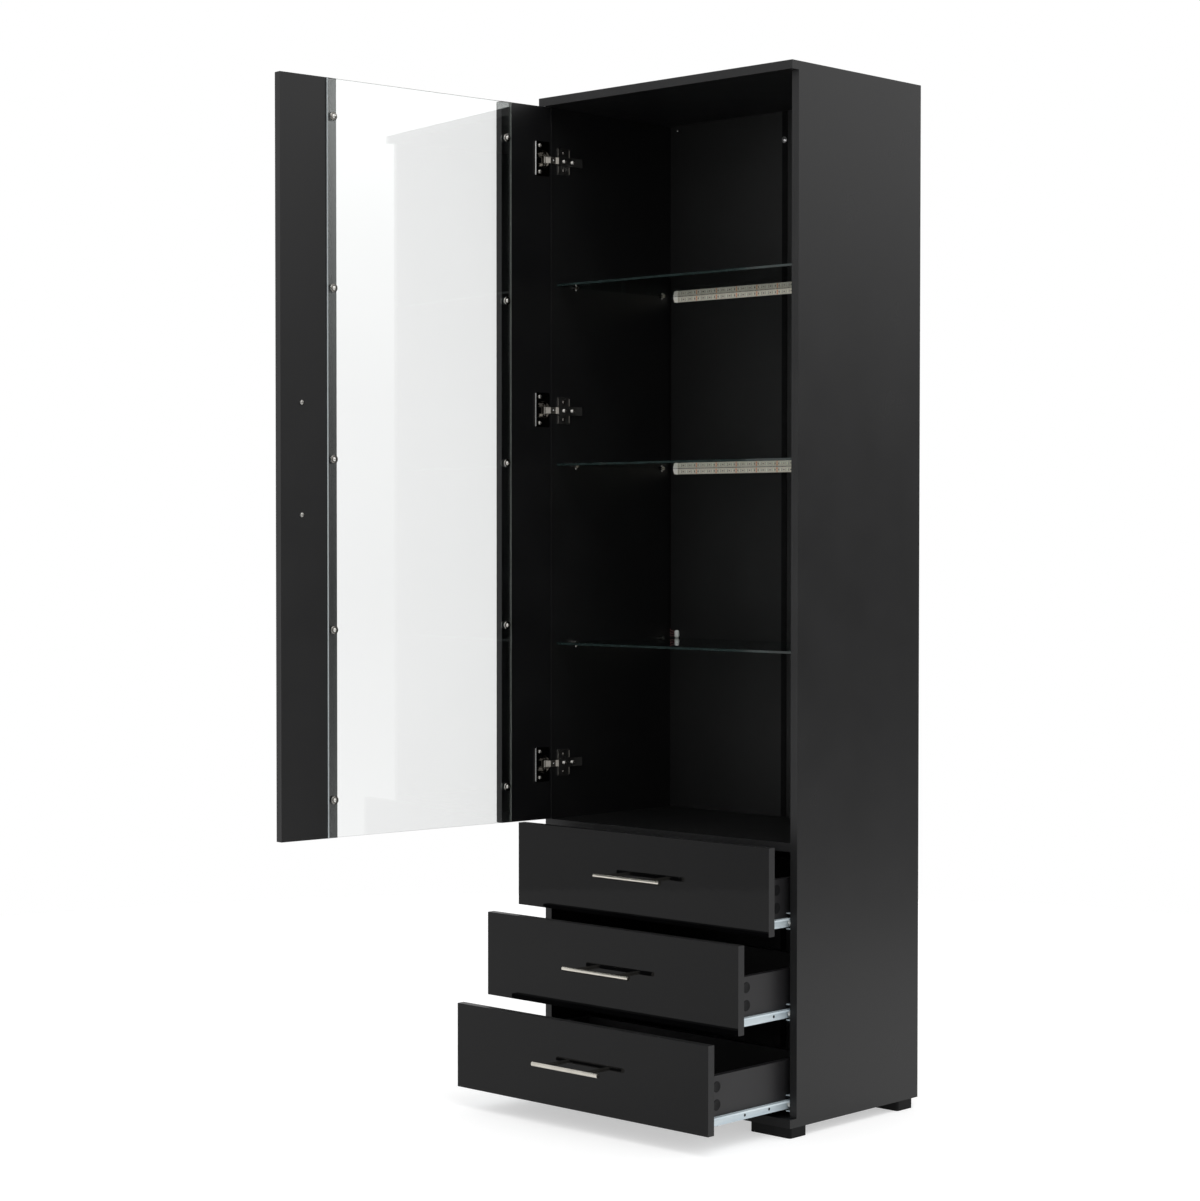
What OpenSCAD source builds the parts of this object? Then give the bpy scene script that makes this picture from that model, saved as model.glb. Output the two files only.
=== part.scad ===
// China cabinet: one glass door over three drawers, on low feet.
// X runs along the width, Y from the front to the back, Z up. The floor is z = 0.
// Drawn with the door open and the drawers part out. Each drawer and the door is
// first drawn shut and then moved by its opening value.

/* [Carcass] */
// Width of the cabinet
cabinet_w = 600; // [560:1:680]
// Depth of the cabinet, door and drawer fronts included
cabinet_d = 362; // [358:1:420]
// Height from the floor to the top
cabinet_h = 1830; // [1800:1:1900]
// Thickness of every board
board_t = 15; // [15:0.5:16]
// Height of the feet
foot_h = 17; // [14:1:30]
// Height of the glass compartment's floor above the room's floor
compartment_z = 502; // [501:1:506]
// Thickness of the fibreboard back
back_t = 3; // [2.5:0.5:4]
// How far the back's front face is set in from the rear edge
back_inset = 15; // [12:1:18]

/* [Shelves] */
// Height of the lowest shelf's underside above the compartment's floor
shelf_first = 323; // [300:1:330]
// Spacing of the glass shelves
shelf_pitch = 331; // [320:1:334]
// Thickness of the shelf glass
shelf_t = 4; // [4:0.5:5]
// Distance of the shelves' front edge from the cabinet's front
shelf_front = 31; // [28:1:40]

/* [Door] */
// How far the door stands open, in degrees
door_open = 96; // [0:1:110]
// Width of each door stile
stile_w = 116; // [100:1:130]
// Thickness of the door's glass
glass_t = 4; // [4:0.5:5]
// How far the glass laps onto each stile
glass_lap = 20; // [16:1:24]
// Width of the slit round the door
reveal = 2; // [1.5:0.5:3]
// Clear space between the shut door's back and the side panels' front edges
front_gap = 2.8; // [2.8:0.1:3.5]

/* [Drawers] */
// How far the top drawer stands out
pull_top = 55; // [0:1:230]
// How far the middle drawer stands out
pull_middle = 134; // [0:1:230]
// How far the bottom drawer stands out
pull_bottom = 210; // [0:1:230]
// Height of a drawer front
front_h = 150.5; // [148:0.5:151]
// Spacing of the drawer fronts
front_pitch = 156.5; // [155:0.5:157]
// Length of the drawer boxes and their runners
runner_l = 300; // [280:5:300]
// Height of the drawer boxes' sides
box_h = 83; // [70:1:90]
// Thickness of the drawer boxes' boards
box_t = 12; // [12:0.5:13]

/* [Handles] */
// Diameter of the handle bars
bar_d = 8; // [8:0.5:12]
// Distance of the bars' middle from the front they are on
bar_out = 31; // [28:1:36]
// Spacing of the drawer handles' screws
handle_pitch = 96; // [64:32:160]
// Spacing of the door handle's screws
door_handle_pitch = 192; // [160:32:256]

/* [Hidden] */
$fn = 48;
slip = 0.05;                // radial clearance of a pin that turns or a peg in its hole
fit = 0.2;                  // clearance of a board or fitting pushed into place
inner_w = cabinet_w - 2*board_t;
side_y = board_t + front_gap;              // front edge of the side panels
back_y = cabinet_d - back_inset;           // front face of the back
compartment_top = cabinet_h - board_t;
base_z = foot_h + board_t;                 // top of the bottom panel
seam_z = compartment_z - 3;                // joint between the upper and lower side panels
groove = 6;                                // depth of the grooves that hold the back
strip_half = 6;                            // half the width of the strip that joins its halves
strip_screw_z = compartment_top - 53;

// Drawer places: index 0 is the top drawer
pulls = [pull_top, pull_middle, pull_bottom];
front_top = compartment_z - 1.5;
function front_z(i) = front_top - front_h - i*front_pitch;
box_rise = 8;                              // box bottom above the front's lower edge
box_w = inner_w - 25;                      // runners take 12.5 mm on each side
box_back_y = board_t + runner_l;

// Runner section, measured outward from the box's side and up from its lower edge
steel = 1;
lip_z = 14;                                // underside of the drawer profile's lip
roller_r = 6.2;
roller_w = 5;
roller_u = 5;                              // middle of the rollers, out from the box
front_roller_z = lip_z - 0.3 - roller_r;
track_z = -3;                              // upper face of the cabinet profile's track
rear_roller_z = track_z + 0.3 + roller_r;
front_roller_y = side_y + 12;
rear_roller_y = box_back_y - 12;

// Door and its hinges
door_x = -cabinet_w/2 + reveal;
door_w = cabinet_w - 2*reveal;
door_z = compartment_z + 1.5;
door_h = compartment_top - reveal - door_z;
pin_in = 7.2;                              // hinge pin from the door's hinge edge
pin_deep = 9.5;                            // hinge pin from the door's back face
pin_x = door_x + pin_in;
pin_y = board_t - pin_deep;
pin_r = 1.2;
cup_in = 20.5;                             // middle of the hinge cups from the hinge edge
cup_x = door_x + cup_in;
cup_r = 17.4;
cup_depth = 13;
cup_wall = 0.8;
arm_half = 5.85;                           // half the width of the arm inside the cup
notch_half = 6.15;
cheek_t = 1.2;
plate_y = side_y + 37;                     // hinge plate's screw line
hinge_zs = [door_z + door_h - 95.5, door_z + door_h/2 + 99.5, door_z + 101.5];
flange_h = 63;
cup_screw_x = cup_x + 6;
cup_screw_z = 24;
glass_x0 = door_x + stile_w - glass_lap;
glass_x1 = door_x + door_w - stile_w + glass_lap;
glass_screw_xs = [door_x + stile_w - 9, door_x + door_w - stile_w + 9];
glass_screw_zs = [for (k = [0:4]) door_z + 66 + k*(door_h - 132)/4];
handle_x = door_x + door_w - 43;
handle_z = door_z + door_h/2;

// Shelves
shelf_w = inner_w - 2;
shelf_d = back_y - 3.5 - shelf_front;
shelf_zs = [for (k = [0:2]) compartment_z + shelf_first + k*shelf_pitch];
support_ys = [side_y + 60, back_y - 30];
support_r = 5.5;

// Light tapes and their leads
tape_h = 10;
tape_t = 2;
tape_drop = 1;
tape_x0 = -inner_w/2 + 4;
tape_x1 = inner_w/2 - 12;
lead_r = 0.9;
lead_y = back_y - 1.4;
socket_w = 9.5;
socket_deep = 5.5;
socket_h = 14.8;
socket_x = -inner_w/2 + 19.75;
socket_z = shelf_zs[0] + shelf_t;

// Cam locks
cam_r = 7.5;
cam_deep = 12;
cam_from_edge = 34;
cam_ys = [side_y + 45, back_y - 40];
dowel_r = 4;
dowel_in = 19;                             // length of a dowel inside the side panel
dowel_out = 10.5;                          // and inside the top or bottom panel
dowel_ys = [side_y + 30, side_y + 165, back_y - 25];

// The origin is the middle of the floor under everything that is drawn
swing = [cos(door_open), -sin(door_open)];  // along the door, away from its hinge
outward = [-sin(door_open), -cos(door_open)];
far_edge = [pin_x, pin_y] + swing*(door_w - pin_in);
bar_far = [pin_x, pin_y] + swing*(handle_x - pin_x) + outward*(pin_y + bar_out);
min_x = min(-cabinet_w/2, bar_far[0] - bar_d/2);
min_y = min(far_edge[1] - pin_deep*outward[1], -pull_bottom - bar_out - bar_d/2);
origin = [-(min_x + cabinet_w/2)/2, -(min_y + cabinet_d)/2, 0];

// ---------- helpers ----------

// Puts cabinet coordinates into the part's own frame
module place() translate(origin) children();

// Turns what is drawn for the shut door to its open position
module door_pose() {
    place()
        translate([pin_x, pin_y, 0])
            rotate([0, 0, -door_open])
                translate([-pin_x, -pin_y, 0])
                    children();
}

// Moves what is drawn for a shut drawer out to its position
module drawer_pose(i) place() translate([0, -pulls[i], 0]) children();

// A block from its lowest corner to its highest
module block(lo, hi) translate(lo) cube(hi - lo);

// A cylinder along X, Y or Z from one end to the other
module rod_x(x0, x1, y, z, r) translate([x0, y, z]) rotate([0, 90, 0]) cylinder(h = x1 - x0, r = r);
module rod_y(x, y0, y1, z, r) translate([x, y0, z]) rotate([-90, 0, 0]) cylinder(h = y1 - y0, r = r);
module rod_z(x, y, z0, z1, r) translate([x, y, z0]) cylinder(h = z1 - z0, r = r);

// The same on both sides of the cabinet
module both_sides() {
    children();
    mirror([1, 0, 0]) children();
}

// ---------- carcass ----------

// Dowel holes in the face of the top or bottom panel
module dowel_holes(z0, z1) {
    both_sides()
        for (y = dowel_ys) rod_z(-cabinet_w/2 + board_t/2, y, z0, z1, dowel_r + slip);
}

module top_panel() {
    color([0.14, 0.14, 0.15])
        place() difference() {
            block([-cabinet_w/2, 0, compartment_top], [cabinet_w/2, cabinet_d, cabinet_h]);
            dowel_holes(compartment_top - 1, compartment_top + 11);
            block([-inner_w/2 - groove, back_y - fit/2, compartment_top - 1],
                  [inner_w/2 + groove, back_y + back_t + fit/2, compartment_top + groove]);
        }
}

module bottom_panel() {
    color([0.14, 0.14, 0.15])
        place() difference() {
            block([-cabinet_w/2, 0, foot_h], [cabinet_w/2, cabinet_d, base_z]);
            dowel_holes(base_z - 11, base_z + 1);
            block([-inner_w/2 - groove, back_y - fit/2, base_z - groove],
                  [inner_w/2 + groove, back_y + back_t + fit/2, base_z + 1]);
        }
}

module middle_panel() {
    color([0.07, 0.07, 0.075])
        place() difference() {
            block([-inner_w/2, side_y, compartment_z - board_t],
                  [inner_w/2, back_y - 1.5, compartment_z]);
            both_sides()
                for (y = cam_ys) {
                    x = -inner_w/2 + cam_from_edge;
                    rod_z(x, y, compartment_z - board_t - 1, compartment_z - board_t + cam_deep,
                          cam_r + slip);
                    rod_x(-inner_w/2 - 1, x - cam_r + 1, y, compartment_z - board_t/2, 3.5 + slip);
                }
        }
}

// One side panel: s is -1 for the left, 1 for the right; end_z is the dowelled end
module side_panel(s, z0, z1, end_z) {
    x0 = s < 0 ? -cabinet_w/2 : inner_w/2;
    inside = s*inner_w/2;
    difference() {
        block([x0, side_y, z0], [x0 + board_t, cabinet_d, z1]);
        // groove for the back
        block([min(inside, inside + s*groove), back_y - fit/2, z0 - 1],
              [max(inside, inside + s*groove), back_y + back_t + fit/2, z1 + 1]);
        for (y = dowel_ys)
            rod_z(s*(cabinet_w/2 - board_t/2), y, end_z - dowel_in - 1, end_z + dowel_in + 1,
                  dowel_r + slip);
        children();
    }
}

// Holes in the inner face for the middle panel's bolts
module middle_bolt_holes(s) {
    for (y = cam_ys)
        rod_x(s < 0 ? -inner_w/2 - 10.2 : inner_w/2 - 1, s < 0 ? -inner_w/2 + 1 : inner_w/2 + 10.2,
              y, compartment_z - board_t/2, 3.5 + slip);
}

// Holes for the shelf supports' pegs
module support_holes(s) {
    for (z = shelf_zs)
        for (y = support_ys)
            rod_x(s < 0 ? -inner_w/2 - 9 : inner_w/2 - 1, s < 0 ? -inner_w/2 + 1 : inner_w/2 + 9,
                  y, z + shelf_t/2, 2.5 + slip);
}

module side_left_upper() {
    color([0.2, 0.2, 0.21]) place() side_panel(-1, seam_z, compartment_top, compartment_top) support_holes(-1);
}

module side_right_upper() {
    color([0.2, 0.2, 0.21]) place() side_panel(1, seam_z, compartment_top, compartment_top) support_holes(1);
}

module side_left_lower() {
    color([0.2, 0.2, 0.21]) place() side_panel(-1, base_z, seam_z, base_z) middle_bolt_holes(-1);
}

module side_right_lower() {
    color([0.2, 0.2, 0.21]) place() side_panel(1, base_z, seam_z, base_z) middle_bolt_holes(1);
}

// One half of the back: it slides into the grooves and the middle strip
module back_half(s) {
    x_out = inner_w/2 + groove - fit;
    difference() {
        block([s < 0 ? -x_out : 0.8, back_y, base_z - groove + fit],
              [s < 0 ? -0.8 : x_out, back_y + back_t, compartment_top + groove - fit]);
        rod_y(0, back_y - 1, back_y + back_t + 1, strip_screw_z, 2.5);
    }
}

module back_left() {
    color([0.06, 0.06, 0.065])
        place() difference() {
            back_half(-1);
            rod_y(socket_x, back_y - 1, back_y + back_t + 1, socket_z + 7, 4.5);
        }
}

module back_right() color([0.06, 0.06, 0.065]) place() back_half(1);

// H-shaped plastic strip that joins the two halves
module back_strip() {
    color([0.1, 0.1, 0.11])
        place() difference() {
            translate([0, 0, base_z + 0.2])
                linear_extrude(compartment_top - base_z - 0.4)
                    union() {
                        translate([-strip_half, back_y - 1.3]) square([2*strip_half, 1.2]);
                        translate([-0.7, back_y - 1.3]) square([1.4, back_t + 2.6]);
                        translate([-strip_half, back_y + back_t + 0.1]) square([2*strip_half, 1.2]);
                    }
            rod_y(0, back_y - 2, back_y + back_t + 2, strip_screw_z, 2 + slip);
        }
}

foot_w = 89;

// A low block foot with rounded corners, flush with the cabinet's corner
module foot(x0, y0) {
    corner = 5;
    translate([x0, y0, 0])
        hull()
            for (x = [corner, foot_w - corner])
                for (y = [corner, 45 - corner])
                    translate([x, y, 0]) cylinder(h = foot_h, r = corner, $fn = 32);
}

module feet() {
    color([0.09, 0.09, 0.09])
        place()
            for (y = [0.5, cabinet_d - 60])
                for (x = [-cabinet_w/2, cabinet_w/2 - foot_w]) foot(x, y);
}

// ---------- shelves ----------

module shelf(k) {
    translate([-shelf_w/2, shelf_front, shelf_zs[k]]) cube([shelf_w, shelf_d, shelf_t]);
}

module shelf_lower() color([0.55, 0.7, 0.65, 0.45]) place() shelf(0);

module shelf_middle() color([0.55, 0.7, 0.65, 0.45]) place() shelf(1);

module shelf_upper() color([0.55, 0.7, 0.65, 0.45]) place() shelf(2);

// A barrel on a peg, slotted for the glass, with a clamping screw below
module shelf_support(y, z) {
    x0 = -inner_w/2;
    difference() {
        union() {
            rod_x(x0 - 8.5, x0, y, z, 2.5);
            rod_x(x0, x0 + 9, y, z, support_r);
            rod_z(x0 + 5, y, z - 8, z - 3, 2);
        }
        block([x0 + 0.6, y - 8, z - shelf_t/2 - 0.1], [x0 + 12, y + 8, z + shelf_t/2 + 0.1]);
    }
}

module shelf_supports() {
    color([0.85, 0.85, 0.84])
        place() both_sides()
            for (z = shelf_zs)
                for (y = support_ys) shelf_support(y, z + shelf_t/2);
}

// ---------- lights ----------

// Adhesive tapes on the back, one under each shelf, that bridge the middle strip
module light_tapes() {
    color([0.75, 0.74, 0.66])
        place() difference() {
            for (z = shelf_zs)
                translate([tape_x0, back_y - tape_t - 0.1, z - tape_drop - tape_h])
                    cube([tape_x1 - tape_x0, tape_t, tape_h]);
            block([-strip_half - 0.2, back_y - 1.4, compartment_z],
                  [strip_half + 0.2, back_y + 1, compartment_top]);
        }
}

// A tube swept through a list of points that all lie in planes along the list
function unit(v) = v/norm(v);
function tangent(p, i) = unit(p[min(i + 1, len(p) - 1)] - p[max(i - 1, 0)]);
function ring(p, i, r, sides) =
    let (t = tangent(p, i), a = unit(cross(t, [0, 1, 0])), b = cross(t, a))
        [for (k = [0:sides - 1]) p[i] + r*(cos(360*k/sides)*a + sin(360*k/sides)*b)];

module tube(p, r, sides = 8) {
    n = len(p);
    points = [for (i = [0:n - 1]) each ring(p, i, r, sides)];
    walls = [for (i = [0:n - 2]) for (k = [0:sides - 1])
        [i*sides + k, i*sides + (k + 1) % sides, (i + 1)*sides + (k + 1) % sides, (i + 1)*sides + k]];
    near = [for (k = [sides - 1:-1:0]) k];
    far = [for (k = [0:sides - 1]) (n - 1)*sides + k];
    polyhedron(points, concat([near], walls, [far]), convexity = 4);
}

lead_x = -inner_w/2 + 1.8;
// Main run: from the upper tape's end down the corner to the socket
lead_main = [
    [tape_x0, lead_y, shelf_zs[2] - 6], [tape_x0 - 1.2, lead_y, shelf_zs[2] - 6.3],
    [lead_x, lead_y, shelf_zs[2] - 8], [lead_x, lead_y, shelf_zs[2] - 12],
    [lead_x, lead_y, shelf_zs[0] + 40], [lead_x, lead_y, socket_z + 18],
    [lead_x + 0.8, lead_y, socket_z + 13], [lead_x + 3, lead_y, socket_z + 10],
    [lead_x + 6, lead_y, socket_z + 8], [socket_x - socket_w/2, lead_y, socket_z + 7.5]
];

module light_lead() color([0.75, 0.35, 0.35]) place() tube(lead_main, lead_r);

// Socket block on the lowest shelf with its barrel through the back
module light_socket() {
    color([0.93, 0.93, 0.92])
        place() difference() {
            union() {
                translate([socket_x, back_y - 0.1, socket_z + 0.2])
                    rotate([90, 0, 0])
                        linear_extrude(socket_deep)
                            hull() {
                                translate([0, socket_w/2]) circle(d = socket_w);
                                translate([0, socket_h - socket_w/2]) circle(d = socket_w);
                            }
                rod_y(socket_x, back_y - 2, back_y + back_t + 6, socket_z + 7, 4.3);
            }
            rod_y(socket_x, back_y - 3, back_y + back_t + 7, socket_z + 7, 2.8);
        }
}

// ---------- hinges ----------

// Mounting plate on the side panel's inner face
module hinge_plate(z) {
    x0 = -inner_w/2;
    difference() {
        union() {
            translate([x0, plate_y, z])
                rotate([0, 90, 0])
                    linear_extrude(1.6)
                        hull()
                            for (s = [-1, 1])
                                for (y = [-18, 6]) translate([s*22, y]) circle(r = 3);
            block([x0, plate_y - 16, z - 6.5], [x0 + 4, plate_y + 18, z + 6.5]);
        }
        rod_x(x0 - 1, x0 + 6, plate_y + 13, z, 2 + slip);
        rod_x(x0 - 1, x0 + 6, plate_y - 9, z, 2 + slip);
    }
}

module hinge_plates() {
    color([0.78, 0.78, 0.77])
        place()
            for (z = hinge_zs) hinge_plate(z);
}

// A flat bar of steel between two points in plan
module strap(a, b, half, t = 1) {
    hull() {
        rod_z(a[0], a[1], -half, half, t);
        rod_z(b[0], b[1], -half, half, t);
    }
}

// Cranked arm: an eye round the pin, a neck past the panel's edge, a channel on the plate
module hinge_arm(z) {
    neck_x = -inner_w/2 + 1.6;
    top_x = -inner_w/2 + 5.6;
    translate([0, 0, z])
        difference() {
            union() {
                rod_z(pin_x, pin_y, -arm_half, arm_half, 2.3);
                strap([pin_x + 1, pin_y + 1], [neck_x, 13.5], arm_half);
                strap([neck_x, 13.5], [neck_x, side_y + 9], arm_half);
                strap([neck_x, side_y + 9], [top_x, side_y + 14], arm_half);
                block([top_x - 1, side_y + 13, -8], [top_x + 1, plate_y + 38, 8]);
                for (s = [-1, 1])
                    block([top_x - 3.7, side_y + 20, s < 0 ? -8 : 7],
                          [top_x, plate_y + 34, s < 0 ? -7 : 8]);
            }
            rod_z(pin_x, pin_y, -20, 20, pin_r + slip);
            rod_x(top_x - 3, top_x + 3, plate_y + 13, 0, 2 + slip);
            rod_x(top_x - 3, top_x + 3, plate_y - 9, 0, 2 + slip);
        }
}

module hinge_arms() {
    color([0.8, 0.8, 0.79])
        place()
            for (z = hinge_zs) hinge_arm(z);
}

// Fixing and adjusting screws through the arm into the plate
module hinge_arm_screws() {
    color([0.7, 0.7, 0.68])
        place()
            for (z = hinge_zs)
                for (y = [plate_y + 13, plate_y - 9]) {
                    rod_x(-inner_w/2 + 0.3, -inner_w/2 + 6.65, y, z, 2);
                    rod_x(-inner_w/2 + 6.65, -inner_w/2 + 8.8, y, z, 3.4);
                }
}

// Cup let into the door with its flange and the two cheeks that hold the pin
module hinge_cup(z) {
    floor_y = board_t - cup_depth + 0.1;
    translate([0, 0, z])
        difference() {
            union() {
                difference() {
                    rod_y(cup_x, floor_y, board_t + 0.5, 0, cup_r);
                    rod_y(cup_x, floor_y + cup_wall, board_t + 2, 0, cup_r - cup_wall);
                }
                // flange on the door's back face
                difference() {
                    translate([0, board_t + 1, 0])
                        rotate([90, 0, 0])
                            linear_extrude(1)
                                hull()
                                    for (x = [door_x + 8, cup_x + 14])
                                        for (s = [-1, 1])
                                            translate([x, s*(flange_h/2 - 4)]) circle(r = 4);
                    rod_y(cup_x, board_t - 1, board_t + 2, 0, cup_r - cup_wall);
                }
                // cheeks
                for (s = [-1, 1])
                    translate([0, 0, s < 0 ? -notch_half - cheek_t : notch_half])
                        intersection() {
                            linear_extrude(cheek_t)
                                union() {
                                    translate([pin_x - 4, floor_y]) square([12, pin_y - floor_y]);
                                    translate([pin_x, pin_y]) circle(r = 2.6);
                                    translate([pin_x, floor_y]) square([8, pin_y - floor_y + 2.4]);
                                }
                            rod_z(pin_x, pin_y, -1, cheek_t + 1, 12);
                        }
            }
            // slot for the arm
            block([door_x - 2, pin_y - 0.4, -notch_half], [cup_x, board_t + 2, notch_half]);
            // outside of the cup's own round, below the flange
            difference() {
                block([door_x - 5, 0, -12], [cup_x, board_t - 0.01, 12]);
                rod_y(cup_x, -1, board_t + 1, 0, cup_r);
            }
            rod_z(pin_x, pin_y, -20, 20, pin_r + slip);
            for (s = [-1, 1])
                rod_y(cup_screw_x, board_t - 2, board_t + 3, s*cup_screw_z, 2 + slip);
        }
}

module hinge_cups() {
    color([0.82, 0.82, 0.8])
        door_pose()
            for (z = hinge_zs) hinge_cup(z);
}

module hinge_pins() {
    color([0.6, 0.6, 0.6])
        door_pose()
            for (z = hinge_zs)
                rod_z(pin_x, pin_y, z - notch_half - cheek_t, z + notch_half + cheek_t, pin_r);
}

// ---------- door ----------

module door_stile_hinge() {
    color([0.17, 0.17, 0.175])
        door_pose() difference() {
            block([door_x, 0, door_z], [door_x + stile_w, board_t, door_z + door_h]);
            for (z = hinge_zs) {
                rod_y(cup_x, board_t - cup_depth, board_t + 1, z, cup_r + slip);
                block([door_x - 1, pin_y - 0.4, z - notch_half], [cup_x, board_t + 1, z + notch_half]);
                for (s = [-1, 1])
                    rod_y(cup_screw_x, board_t - 11, board_t + 1, z + s*cup_screw_z, 2 + slip);
            }
            for (z = glass_screw_zs)
                rod_y(glass_screw_xs[0], board_t - 11, board_t + 1, z, 2 + slip);
        }
}

module door_stile_free() {
    color([0.17, 0.17, 0.175])
        door_pose() difference() {
            block([door_x + door_w - stile_w, 0, door_z], [door_x + door_w, board_t, door_z + door_h]);
            for (z = glass_screw_zs)
                rod_y(glass_screw_xs[1], board_t - 11, board_t + 1, z, 2 + slip);
            for (s = [-1, 1])
                rod_y(handle_x, -1, board_t + 1, handle_z + s*door_handle_pitch/2, 2.5);
        }
}

module door_glass() {
    color([0.8, 0.88, 0.86, 0.3])
        door_pose() difference() {
            block([glass_x0, board_t + 0.05, door_z + 1],
                  [glass_x1, board_t + 0.05 + glass_t, door_z + door_h - 1]);
            for (x = glass_screw_xs)
                for (z = glass_screw_zs)
                    rod_y(x, board_t - 1, board_t + glass_t + 2, z, 3.5);
        }
}

// Pan-head screws through washers that hold the glass to the stiles
module glass_screws() {
    face_y = board_t + glass_t + 0.1;
    color([0.8, 0.8, 0.8])
        door_pose()
            for (x = glass_screw_xs)
                for (z = glass_screw_zs) {
                    rod_y(x, board_t - 10, face_y + 1.4, z, 2);
                    rod_y(x, face_y + 1.4, face_y + 3.2, z, 3.8);
                    difference() {
                        rod_y(x, face_y, face_y + 1.3, z, 7);
                        rod_y(x, face_y - 1, face_y + 3, z, 2.2);
                    }
                }
}

// A round bar on two posts, the posts' ends cut to sit on the bar. Drawn lying along X
// in front of y = 0.
module bar_handle(pitch, length) {
    translate([-length/2, -bar_out, 0]) rotate([0, 90, 0]) cylinder(h = length, r = bar_d/2);
    for (s = [-1, 1])
        difference() {
            rod_y(s*pitch/2, -bar_out, 0, 0, 3.5);
            translate([-length, -bar_out, 0]) rotate([0, 90, 0]) cylinder(h = 2*length, r = bar_d/2);
            rod_y(s*pitch/2, -bar_out + bar_d/2 + 5, 1, 0, 2 + slip);
        }
}

module door_handle() {
    color([0.78, 0.77, 0.73])
        door_pose()
            translate([handle_x, 0, handle_z])
                rotate([0, 90, 0])
                    bar_handle(door_handle_pitch, door_handle_pitch + 60);
}

// Screws through the door into the handle, and the cups' wood screws
module door_screws() {
    color([0.75, 0.75, 0.74])
        door_pose() {
            for (s = [-1, 1]) {
                z = handle_z + s*door_handle_pitch/2;
                rod_y(handle_x, -12, board_t + 0.2, z, 2);
                rod_y(handle_x, board_t + 0.2, board_t + 2.2, z, 4.2);
            }
            for (z = hinge_zs)
                for (s = [-1, 1]) {
                    rod_y(cup_screw_x, board_t - 10, board_t + 1.1, z + s*cup_screw_z, 2);
                    rod_y(cup_screw_x, board_t + 1.1, board_t + 2.4, z + s*cup_screw_z, 3.6);
                }
        }
}

// ---------- fastenings in the carcass ----------

// Cam discs let into the middle panel's underside
module cam_locks() {
    color([0.15, 0.15, 0.15])
        place() both_sides()
            for (y = cam_ys) {
                rod_z(-inner_w/2 + cam_from_edge, y, compartment_z - board_t + 0.1,
                      compartment_z - board_t + cam_deep - 0.2, cam_r);
            }
}

// Bolts from the side panels into the cams, and the top and bottom panels' dowels
module panel_joints() {
    reach = cam_from_edge - cam_r - 0.3;
    color([0.75, 0.7, 0.58])
        place() both_sides() {
            for (y = cam_ys)
                rod_x(-inner_w/2 - 10, -inner_w/2 + reach, y, compartment_z - board_t/2, 3.5);
            for (y = dowel_ys)
                for (z = [base_z, compartment_top])
                    rod_z(-cabinet_w/2 + board_t/2, y, z - (z == base_z ? dowel_out : dowel_in),
                          z + (z == base_z ? dowel_in : dowel_out), dowel_r);
        }
}

// Screw, washer and nut that lock the middle strip to the two halves of the back
module back_screw() {
    z = strip_screw_z;
    color([0.85, 0.85, 0.83])
        place() {
            rod_y(0, back_y - 2.6, back_y + back_t + 5.5, z, 2);
            rod_y(0, back_y - 4.2, back_y - 2.6, z, 3.6);
            difference() {
                rod_y(0, back_y - 2.55, back_y - 1.35, z, 6);
                rod_y(0, back_y - 3, back_y - 1, z, 2.2);
            }
            difference() {
                rod_y(0, back_y + back_t + 1.5, back_y + back_t + 4.5, z, 5);
                rod_y(0, back_y + back_t + 1, back_y + back_t + 5, z, 2 + slip);
            }
        }
}

// ---------- drawers ----------

box_x = -box_w/2;                          // outer face of a box's left side

// Cabinet profile of one left-hand runner: web, upper lip and track
module cabinet_runner(i) {
    z = front_z(i) + box_rise;
    y0 = side_y + 2;
    translate([box_x, y0, z])
        rotate([90, 0, 0])
            mirror([0, 0, 1])
                linear_extrude(runner_l)
                    union() {
                        translate([-12.5, track_z - steel]) square([steel, 28]);
                        translate([-12.5, track_z - steel]) square([10.5, steel]);
                        translate([-12.5, track_z - steel + 27]) square([10.5, steel]);
                    }
    // axle of the front roller
    rod_x(box_x - 12, box_x - roller_u + roller_w/2, front_roller_y, z + front_roller_z, 1.5);
}

module cabinet_runners() {
    color([0.92, 0.92, 0.91])
        place() both_sides()
            for (i = [0:2]) cabinet_runner(i);
}

// Rollers that turn on the cabinet's profiles and carry the drawer's lip
module front_rollers(i) {
    color([0.95, 0.95, 0.93])
        place() both_sides()
            difference() {
                rod_x(box_x - roller_u - roller_w/2, box_x - roller_u + roller_w/2, front_roller_y,
                      front_z(i) + box_rise + front_roller_z, roller_r);
                rod_x(box_x - 20, box_x, front_roller_y, front_z(i) + box_rise + front_roller_z,
                      1.5 + slip);
            }
}

// Rollers at the rear of the drawer that run in the cabinet's track
module rear_rollers(i) {
    color([0.95, 0.95, 0.93])
        drawer_pose(i) both_sides()
            difference() {
                rod_x(box_x - roller_u - roller_w/2, box_x - roller_u + roller_w/2, rear_roller_y,
                      front_z(i) + box_rise + rear_roller_z, roller_r);
                rod_x(box_x - 20, box_x, rear_roller_y, front_z(i) + box_rise + rear_roller_z,
                      1.5 + slip);
            }
}

cam_small_r = 7;
cam_small_deep = 9;
cam_dzs = [34, 64.5];
screw_ys = [board_t + 40, board_t + 240];
web_hole_ys = [board_t + 107.5, board_t + 171.5];

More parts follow.
